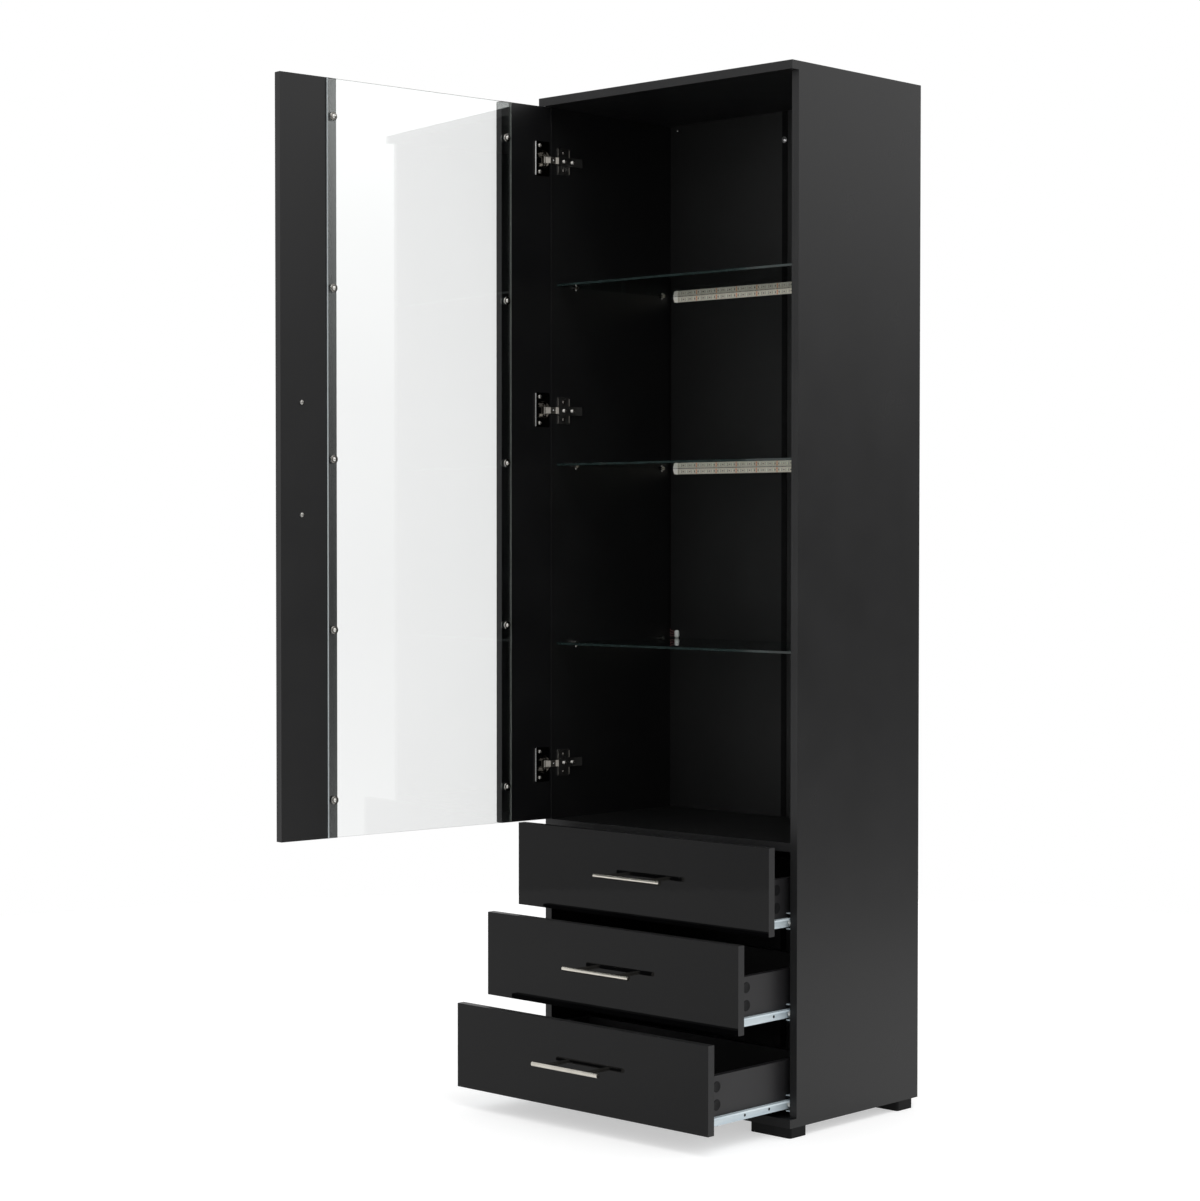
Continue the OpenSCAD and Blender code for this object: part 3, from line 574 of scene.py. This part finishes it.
def cross_head():
    """A domed screw head of radius 1 with a cross recess, as a mesh on Z = 0."""
    dome = lathe([(0, -0.02), (0.97, -0.02), (0.985, 0.06), (0.93, 0.17), (0.78, 0.28),
                  (0.5, 0.35), (0, 0.38)])
    head = bpy.data.meshes.new("cross_head")
    dome.to_mesh(head)
    dome.free()
    cut = bmesh.new()
    for spin in (0, math.pi / 2):
        made = bmesh.ops.create_cube(cut, size=1)["verts"]
        bmesh.ops.scale(cut, vec=(1.0, 0.2, 0.52), verts=made)
        bmesh.ops.translate(cut, vec=(0, 0, 0.36), verts=made)
        bmesh.ops.rotate(cut, cent=(0, 0, 0), matrix=Matrix.Rotation(spin, 3, "Z"), verts=made)
    tool_mesh = bpy.data.meshes.new("cross")
    cut.to_mesh(tool_mesh)
    cut.free()
    o, tool = bpy.data.objects.new("head", head), bpy.data.objects.new("tool", tool_mesh)
    for x in (o, tool):
        bpy.context.scene.collection.objects.link(x)
    carve = o.modifiers.new("carve", "BOOLEAN")
    carve.object = tool
    carve.solver = "EXACT"
    carve.use_self = True
    bpy.context.view_layer.update()
    done = o.evaluated_get(bpy.context.evaluated_depsgraph_get())
    result = bpy.data.meshes.new_from_object(done)
    for x in (o, tool):
        bpy.data.objects.remove(x)
    return result


CROSS = cross_head()
HEAD_TWIST = 0.37         # turn from one screw's cross to the next, in radians


def heads(name, body, slot, finish, places):
    """Screw heads at (middle, way, radius) places, joined into one piece."""
    form = bmesh.new()
    for k, (middle, way, radius) in enumerate(places):
        one = bmesh.new()
        one.from_mesh(CROSS)
        turn = Matrix.Rotation(HEAD_TWIST * k, 4, "Z")
        scale = Matrix.Diagonal((radius, radius, radius, 1))
        one.transform(Matrix.Translation(middle) @ facing(way) @ turn @ scale)
        join(form, one)
    shade(piece(name, form, body, slot, finish).data, 35)


HEAD_LIMIT = 5 * MM       # a screw's head is narrower than this, and its flange wider
ends = [(*tip(g, INTO_ROOM), INTO_ROOM) for g in solids("glass_screws")]
heads("glass_screw_heads", "door", "fixings_metal", "nickel",
      [(m, way, r) for m, r, way in ends if r < HEAD_LIMIT])
# section of a dished washer: (radius, height) in millimetres
WASHER = ((3.6, -0.1), (6.9, -0.1), (7.2, 0.4), (6.8, 0.9), (5.2, 1.2), (3.6, 1.0), (3.6, -0.1))
rings = bmesh.new()
for middle, radius, way in ends:
    if radius < HEAD_LIMIT:
        continue
    dish = lathe([(r * MM, z * MM) for r, z in WASHER], 40)
    dish.transform(Matrix.Translation(middle) @ facing(way))
    join(rings, dish)
shade(piece("glass_screw_washers", rings, "door", "fixings_metal", "nickel_dark").data, 50)
heads("door_screw_heads", "door", "fixings_metal", "nickel_grey",
      [(m, INTO_ROOM, r) for m, r in (tip(g, INTO_ROOM) for g in solids("door_screws"))])
heads("hinge_arm_screw_heads", "cabinet", "fixings_metal", "nickel_grey",
      [(m, PLUS_X, r) for m, r in (tip(g, PLUS_X) for g in solids("hinge_arm_screws"))])
BACK_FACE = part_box("back_left")[0].y          # inner face of the back
heads("back_screw_head", "cabinet", "bright_metal", "bright",
      [(m, OUTWARD_Y, r) for m, r in (tip(g, OUTWARD_Y) for g in solids("back_screw"))
       if r < HEAD_LIMIT and m.y < BACK_FACE])
HANDLE_ZONE = 100 * MM    # a drawer's handle screws lie this near the middle
BACK_ZONE = 20 * MM       # the screws of its back lie this near the rear end
for k in DRAWERS:
    found = []
    side_lo, side_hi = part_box("drawer_%s_sides" % k)
    for g in solids("drawer_%s_fixings" % k):
        middle = sum(g, Vector()) / len(g)
        if abs(middle.x - MIDDLE_X) < HANDLE_ZONE:
            m, r = tip(g, PLUS_Y)
            found.append((m, PLUS_Y, r))
        elif middle.y > side_hi.y - BACK_ZONE:
            way = PLUS_X if middle.x > MIDDLE_X else -PLUS_X
            m, r = tip(g, way)
            found.append((m, way, r))
    heads("drawer_%s_screw_heads" % k, "drawer_" + k, "fixings_metal", "zinc", found)


# ---------- light tapes ----------


def slab(form, lo, hi, index=0):
    """A block in a bmesh, from its lowest to its highest corner, with a material index."""
    lo, hi = Vector(lo), Vector(hi)
    made = bmesh.ops.create_cube(form, size=1)["verts"]
    bmesh.ops.scale(form, vec=hi - lo, verts=made)
    bmesh.ops.translate(form, vec=(lo + hi) / 2, verts=made)
    for face in {f for v in made for f in v.link_faces}:
        face.material_index = index
    return made


def sleeve(x0, x1, y0, y1, z0, z1, index, radii=(0.003, 0.001, 0.001, 0.002)):
    """A flat block along X with rounded corners: left lower, left upper, right upper, right lower."""
    form = bmesh.new()
    outline = []
    corners = ((x0, z0, 1, 1), (x0, z1, 1, -1), (x1, z1, -1, -1), (x1, z0, -1, 1))
    for k, ((x, z, sx, sz), r) in enumerate(zip(corners, radii)):
        for step in range(9):
            t = math.pi / 2 * step / 8
            if k % 2:
                t = math.pi / 2 - t
            outline.append((x + sx * r * (1 - math.sin(t)), z + sz * r * (1 - math.cos(t))))
    back = [form.verts.new((x, y1, z)) for x, z in outline]
    front = [form.verts.new((x, y0, z)) for x, z in outline]
    form.faces.new(back)
    form.faces.new(list(reversed(front)))
    for k in range(len(outline)):
        n = (k + 1) % len(outline)
        form.faces.new((back[k], front[k], front[n], back[n]))
    for face in form.faces:
        face.material_index = index
    bmesh.ops.recalc_face_normals(form, faces=form.faces)
    return form


CUT_PITCH = 50 * MM
FIRST_CUT = MIDDLE_X - 216.5 * MM
END_SETBACK = 6 * MM          # the visible tape starts this far into the CAD tape
PAD_SPACE = (14 * MM, 8 * MM)     # room kept free of cut marks at the left and right ends
CHIP_SPACE = (15 * MM, 9 * MM)    # room kept free of lamps and resistors there
RESISTORS = (4.6, 16.7, 33.3, 45.2)   # places between two cut marks, in millimetres
COATING, COPPER, HOUSING, DARK, PHOSPHOR = range(5)     # material indices of a circuit


def circuit(x0, x1, y, z0, z1):
    """The tape's circuit: a coated board with cut marks, lamps and resistors on its face at y."""
    form = bmesh.new()
    mid = (z0 + z1) / 2

    def chip(x, z, half_x, half_z, out, deep, index):
        """A block on the board, with its half sizes and how far it stands out and goes in."""
        slab(form, (x - half_x * MM, y - out * MM, z - half_z * MM),
             (x + half_x * MM, y + deep * MM, z + half_z * MM), index)

    def room(x, space):
        return x0 + space[0] < x < x1 - space[1]

    slab(form, (x0 + 5 * MM, y, z0 + 0.5 * MM), (x1 - 4 * MM, y + 0.3 * MM, z1 + 0.4 * MM), COATING)
    cut = FIRST_CUT - CUT_PITCH
    while cut < x1:
        if room(cut, PAD_SPACE):
            for side in (-1, 1):
                for row in (-1, 1):
                    chip(cut + side * 0.8 * MM, mid + row * 2.4 * MM, 0.6, 2, 0.1, 0.1, COPPER)
        for k in range(3):
            x = cut + CUT_PITCH * (k + 0.5) / 3
            if not room(x, CHIP_SPACE):
                continue
            chip(x, mid, 2.5, 2.5, 0.5, 0.1, HOUSING)
            chip(x, mid, 1.9, 1.9, 0.6, 0, PHOSPHOR)
            for row in (-1, 0, 1):
                for side in (-1, 1):
                    chip(x + side * 3.1 * MM, mid + row * 1.7 * MM, 0.6, 0.45, 0.2, 0.1, DARK)
        for step in RESISTORS:
            x = cut + step * MM
            if room(x, CHIP_SPACE):
                chip(x, mid, 1.1, 0.8, 0.4, 0.1, DARK)
        cut += CUT_PITCH
    return form


def tape_ends(x0, x1, y0, y1, z0, z1):
    """Moulded ends of a tape, the left one well rounded underneath."""
    left = sleeve(x0 - 0.3 * MM, x0 + 10 * MM, y0 - 0.6 * MM, y1, z0, z1, 0,
                  (0.0095, 0.001, 0.001, 0.001))
    join(left, sleeve(x1 - 9 * MM, x1 + 0.3 * MM, y0, y1, z0, z1, 0))
    return left


tapes = sorted(solids("light_tapes"), key=lambda g: g[0].z)
for name, group in zip(("lower", "middle", "upper"), tapes):
    x0, x1 = min(p.x for p in group) + END_SETBACK, max(p.x for p in group)
    y0, y1 = min(p.y for p in group), max(p.y for p in group)
    z0, z1 = min(p.z for p in group), max(p.z for p in group)
    form = sleeve(x0, x1, y0 + 0.6 * MM, y1, z0, z1 + 0.6 * MM, 0)
    body = piece("tape_%s_sleeve" % name, form, "cabinet", "tape_silicone", "silicone")
    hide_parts("light_tapes")
    round_edges(body, 0.3 * MM, 2)
    form = circuit(x0, x1, y0 + 0.45 * MM, z0, z1)
    piece("tape_%s_circuit" % name, form, "cabinet", "tape_silicone",
          "circuit", "copper", "white_plastic", "resistor", "lamp")
    form = tape_ends(x0, x1, y0, y1, z0 - 0.3 * MM, z1 + 0.7 * MM)
    ends = piece("tape_%s_ends" % name, form, "cabinet", "tape_silicone", "end_cap")
    round_edges(ends, 1.0 * MM, 3)


# ---------- drawer trim ----------

COVER_BACK = 36 * MM              # from a side's front end to the middle of its cam covers
CAM_ZS = (34 * MM, 64.5 * MM)     # heights of the cams above a side's lower edge
HOLE_YS = (107.5 * MM, 171.5 * MM)    # empty holes of the runner, from a side's front end
HOLE_Z = 6 * MM
# sections, in millimetres: a cover with a raised rim, and a dark disc set in an empty hole as painted
# shade
COVER = ((0, -0.1), (9.3, -0.1), (9.5, 0.25), (9.0, 0.6), (7.8, 0.7), (7.4, 0.55), (0, 0.55))
SHADE_DISC = ((0, 0), (2.5, 0), (2.5, 0.85), (2.2, 0.9), (1.4, 0.4), (0, 0.3))


def turned(form, section, steps, place, way):
    """Adds a turned solid to a bmesh, standing at a place and facing a way."""
    one = lathe([(r * MM, z * MM) for r, z in section], steps)
    one.transform(Matrix.Translation(place) @ facing(way))
    join(form, one)


for k in DRAWERS:
    side_lo, side_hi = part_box("drawer_%s_sides" % k)
    caps, holes = bmesh.new(), bmesh.new()
    for x, way in ((side_lo.x, -PLUS_X), (side_hi.x, PLUS_X)):
        for z in CAM_ZS:
            turned(caps, COVER, 48, (x, side_lo.y + COVER_BACK, side_lo.z + z), way)
        for y in HOLE_YS:
            turned(holes, SHADE_DISC, 24, (x, side_lo.y + y, side_lo.z + HOLE_Z), way)
    covers = piece("drawer_%s_cam_covers" % k, caps, "drawer_" + k, "black_plastic", "cam_cap")
    shade(covers.data, 35)
    # dark discs in the runner's empty holes: painted shade, not screws
    piece("drawer_%s_runner_hole_shades" % k, holes, "drawer_" + k, "fixings_metal", "black_plastic")


# ---------- hinge trim ----------


def bar(form, axes, middle, size, chamfer):
    """A chamfered bar in a bmesh, with its sides along three given directions."""
    one = bmesh.new()
    made = bmesh.ops.create_cube(one, size=1)["verts"]
    bmesh.ops.scale(one, vec=size, verts=made)
    bmesh.ops.bevel(one, geom=list(one.edges), offset=chamfer, segments=2, profile=0.5,
                    affect="EDGES")
    turn = Matrix(axes).transposed().to_4x4()
    one.transform(Matrix.Translation(middle) @ turn)
    join(form, one)


SQUARE = ((1, 0, 0), (0, 1, 0), (0, 0, 1))
form = bmesh.new()
for g in solids("hinge_cups"):
    face = max(p.dot(INTO_ROOM) for p in g)
    flange = [p for p in g if p.dot(INTO_ROOM) > face - 0.2 * MM]
    edge = max(p.dot(DOOR_ALONG) for p in flange)
    low, high = min(p.z for p in flange), max(p.z for p in flange)
    middle = DOOR_ALONG * (edge - 1.1 * MM) + INTO_ROOM * (face + 0.5 * MM)
    middle.z = (low + high) / 2
    rim = (1.8 * MM, 2.4 * MM, high - low - 1 * MM)
    bar(form, (DOOR_ALONG, INTO_ROOM, UP), middle, rim, 0.8 * MM)
piece("hinge_flange_rims", form, "door", "hinge_metal", "bright")

PLATE_SCREW = (15 * MM, 16 * MM)      # back from a plate's front edge, and up or down from its middle
PLATE_RIMS = (0.5 * MM, 29.5 * MM)    # back from a plate's front edge
RIM_UP = 15.5 * MM
RIM_SIZE = (1.0 * MM, 1.0 * MM, 13 * MM)
RIVET = (2.6 * MM, 3.5 * MM)          # out from the side panel, and back from its front edge
panel_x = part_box("side_left_upper")[1].x
form = bmesh.new()
plate_screws, rivets = [], []
for g in solids("hinge_plates"):
    x = min(p.x for p in g) + 1.6 * MM
    y = min(p.y for p in g)
    z = (min(p.z for p in g) + max(p.z for p in g)) / 2
    for s in (-1, 1):
        screw = Vector((x, y + PLATE_SCREW[0], z + s * PLATE_SCREW[1]))
        plate_screws.append((screw, PLUS_X, 3.2 * MM))
        for back in PLATE_RIMS:
            bar(form, SQUARE, Vector((x, y + back, z + s * RIM_UP)), RIM_SIZE, 0.35 * MM)
    rivets.append((Vector((panel_x + RIVET[0], SIDE_FRONT + RIVET[1], z)), PLUS_X, 1.7 * MM))
piece("hinge_plate_rims", form, "cabinet", "hinge_metal", "satin")
heads("hinge_plate_screw_heads", "cabinet", "hinge_metal", "nickel_dark", plate_screws)
heads("hinge_arm_rivets", "cabinet", "hinge_metal", "bright", rivets)
BACK_SCREW_OUT, BACK_SCREW_Z = 268 * MM, 1806 * MM
heads("back_panel_screws", "cabinet", "fixings_metal", "nickel",
      [(Vector((MIDDLE_X + s * BACK_SCREW_OUT, BACK_FACE, BACK_SCREW_Z)), OUTWARD_Y, 1.8 * MM)
       for s in (-1, 1)])


# ---------- socket and its short leads ----------


def lead(name, points, radius, finish):
    """A thin wire through the given points."""
    curve = bpy.data.curves.new(name, "CURVE")
    curve.dimensions = "3D"
    curve.bevel_depth = radius
    curve.bevel_resolution = 3
    curve.resolution_u = 8
    curve.use_fill_caps = True
    line = curve.splines.new("NURBS")
    line.points.add(len(points) - 1)
    for q, p in zip(line.points, points):
        q.co = (*p, 1)
    line.use_endpoint_u = True
    line.order_u = 3
    o = bpy.data.objects.new(name, curve)
    bpy.context.scene.collection.objects.link(o)
    curve.materials.append(mats[finish])
    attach(o, "cabinet")
    return o


socket_lo, socket_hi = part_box("light_socket")
back_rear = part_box("back_left")[1].y
corner_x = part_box("light_lead")[0].x
socket_size = Vector((socket_hi.x - socket_lo.x, BACK_FACE - socket_lo.y, socket_hi.z - socket_lo.z))
middle = Vector((socket_lo.x + socket_size.x / 2, BACK_FACE - socket_size.y / 2,
                 (socket_lo.z + socket_hi.z) / 2))
form = bmesh.new()
bar(form, SQUARE, middle, socket_size, 2.7 * MM)
RIB = 0.3 * MM
for z in (-0.22, 0.22):       # two fine ribs around the block, as shares of its height
    bar(form, SQUARE, middle + Vector((0, 0, z * socket_size.z)),
        (socket_size.x + RIB, socket_size.y + RIB, 0.5 * MM), 0.2 * MM)
BARREL_R, BORE_R, BORE_FLOOR, BARREL_Z = 4.3 * MM, 2.8 * MM, 1.0 * MM, 7 * MM
reach = socket_hi.y - back_rear
barrel = lathe([(0, 0), (BARREL_R, 0), (BARREL_R, reach), (BORE_R, reach), (BORE_R, BORE_FLOOR),
                (0, BORE_FLOOR)])
barrel.transform(Matrix.Translation(((socket_lo.x + socket_hi.x) / 2, back_rear,
                                     socket_lo.z + BARREL_Z)) @ facing(PLUS_Y))
join(form, barrel)
block = piece("light_socket_block", form, "cabinet", "white_plastic", "white_plastic")
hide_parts("light_socket")
shade(block.data, 50)
# each lead leaves the block at a height z and drops or climbs into the corner
for k, (z, drop) in enumerate(((11.5, 2.5), (8.0, 0.5), (4.5, -1.5))):
    start = Vector((socket_lo.x + 0.6 * MM, BACK_FACE - 3.2 * MM, socket_lo.z + z * MM))
    lead("socket_lead_%d" % (k + 1), [
        start, start + Vector((-2 * MM, 0, 0)), start + Vector((-4.5 * MM, 0.6 * MM, drop / 2 * MM)),
        Vector((corner_x + 1.2 * MM, BACK_FACE - 2.2 * MM, start.z + drop * MM)),
        Vector((corner_x + 1.0 * MM, BACK_FACE - 2.0 * MM, start.z + (drop + 3) * MM)),
    ], 0.5 * MM, "lead")


# ---------- camera ----------

# The viewpoint, in millimetres from the cabinet's middle, front face and floor
EYE = at(3171, -3519, 1029)
YAW, PITCH, ROLL = 0.7557, -0.0247, 0.0005
SENSOR = 36               # millimetres
LENS = 80.1832            # focal length in millimetres

camera_data = bpy.data.cameras.new("camera")
camera = bpy.data.objects.new("camera", camera_data)
bpy.context.scene.collection.objects.link(camera)
ahead = Vector((-math.sin(YAW) * math.cos(PITCH), math.cos(YAW) * math.cos(PITCH), math.sin(PITCH)))
right = Vector((math.cos(YAW), math.sin(YAW), 0))
up = right.cross(ahead)
right, up = (right * math.cos(ROLL) + up * math.sin(ROLL),
             up * math.cos(ROLL) - right * math.sin(ROLL))
turn = Matrix((right, up, -ahead)).transposed()
camera.matrix_world = Matrix.Translation(EYE) @ turn.to_4x4()
camera_data.sensor_fit = "AUTO"
camera_data.sensor_width = SENSOR
camera_data.lens = LENS
camera_data.clip_start = 0.1
camera_data.clip_end = 100
bpy.context.scene.camera = camera


# ---------- floor and light ----------

BRIGHTEST = 1.7          # brightest band of the studio's walls
FRONT_WALL = 0.95        # brightness of the studio in front of the cabinet
FLOOR_GLOW = 0.5         # share of the floor's white that doesn't depend on the light

FLOOR_R = 3              # radius of the floor, in metres
# the studio's brightness by the height of a direction: a dim band at the horizon
BANDS = ((-0.5, 0.9), (-0.172, 1.0), (-0.12, 0.6), (-0.07, 0.36), (-0.02, 0.26),
         (0.05, 0.5), (0.11, 1.0), (0.16, BRIGHTEST), (0.5, 1.2), (1.0, 1.0))
REAR_RIGHT = (-0.4, 0.9)    # where the bands fade in, from the front left to the rear right

mesh = bpy.data.meshes.new("floor")
form = bmesh.new()
bmesh.ops.create_circle(form, cap_ends=True, segments=96, radius=FLOOR_R)
form.to_mesh(mesh)
form.free()
floor = bpy.data.objects.new("floor", mesh)
floor.location = (MIDDLE_X, 0, -0.0005)
bpy.context.scene.collection.objects.link(floor)
make, link, shader = material("floor")
vector = stretched(make, link, (1, 1, 1))
clouds = noise(make, link, vector, 2, 3)
tone = ramp(make, link, clouds, "Fac", 0.3, 0.7, (0.6, 0.6, 0.6), (0.62, 0.62, 0.62))
link(tone, "Color", shader, "Base Color")
shader.inputs["Roughness"].default_value = 0.7
shader.inputs["Specular IOR Level"].default_value = 0.0
shader.inputs["Emission Color"].default_value = (1, 1, 1, 1)
shader.inputs["Emission Strength"].default_value = FLOOR_GLOW
floor.data.materials.append(mats["floor"])

world = bpy.data.worlds.new("studio")
bpy.context.scene.world = world
world.use_nodes = True
make, link = tools(world.node_tree)
background = world.node_tree.nodes["Background"]
background.inputs["Strength"].default_value = 1.0
way = make("ShaderNodeTexCoord")
split = make("ShaderNodeSeparateXYZ")
height = make("ShaderNodeMapRange")
height.inputs["From Min"].default_value = -1.0
height.inputs["From Max"].default_value = 1.0
bands = make("ShaderNodeValToRGB")
for k, (z, level) in enumerate(BANDS):
    stops = bands.color_ramp.elements
    stop = stops[k] if k < 2 else stops.new(0.99)
    stop.position = (z + 1) / 2
    grey = level / BRIGHTEST
    stop.color = (grey, grey, grey, 1)
scale = make("ShaderNodeMath", operation="MULTIPLY")
scale.inputs[1].default_value = BRIGHTEST
link(way, "Generated", split, "Vector")
link(split, "Z", height, "Value")
link(height, "Result", bands, "Fac")
link(bands, "Color", scale, 0)
# the bands belong to the rear right of the studio only; its front is evenly lit
across = make("ShaderNodeMath", operation="ADD")
rear = make("ShaderNodeMapRange", interpolation_type="SMOOTHSTEP")
rear.inputs["From Min"].default_value = REAR_RIGHT[0]
rear.inputs["From Max"].default_value = REAR_RIGHT[1]
wall = make("ShaderNodeMix", data_type="FLOAT")
wall.inputs["A"].default_value = FRONT_WALL
link(split, "X", across, 0)
link(split, "Y", across, 1)
link(across, "Value", rear, "Value")
link(rear, "Result", wall, "Factor")
link(scale, "Value", wall, "B")
# the camera itself sees plain white
seen = make("ShaderNodeLightPath")
either = make("ShaderNodeMix", data_type="FLOAT")
either.inputs["B"].default_value = 1.0
link(seen, "Is Camera Ray", either, "Factor")
link(wall, "Result", either, "A")
link(either, "Result", background, "Color")


def softbox(name, place, target, size, power):
    """A large soft light."""
    data = bpy.data.lights.new(name, "AREA")
    data.shape = "RECTANGLE"
    data.size, data.size_y = size
    data.energy = power
    light = bpy.data.objects.new(name, data)
    light.location = place
    light.rotation_mode = "QUATERNION"
    light.rotation_quaternion = (Vector(target) - Vector(place)).to_track_quat("-Z", "Y")
    bpy.context.scene.collection.objects.link(light)
    return light


softbox("high_right", at(1900, -1500, 3600), at(250, 150, 1500), (1.6, 1.6), 30)
bpy.context.scene.view_settings.view_transform = "Standard"
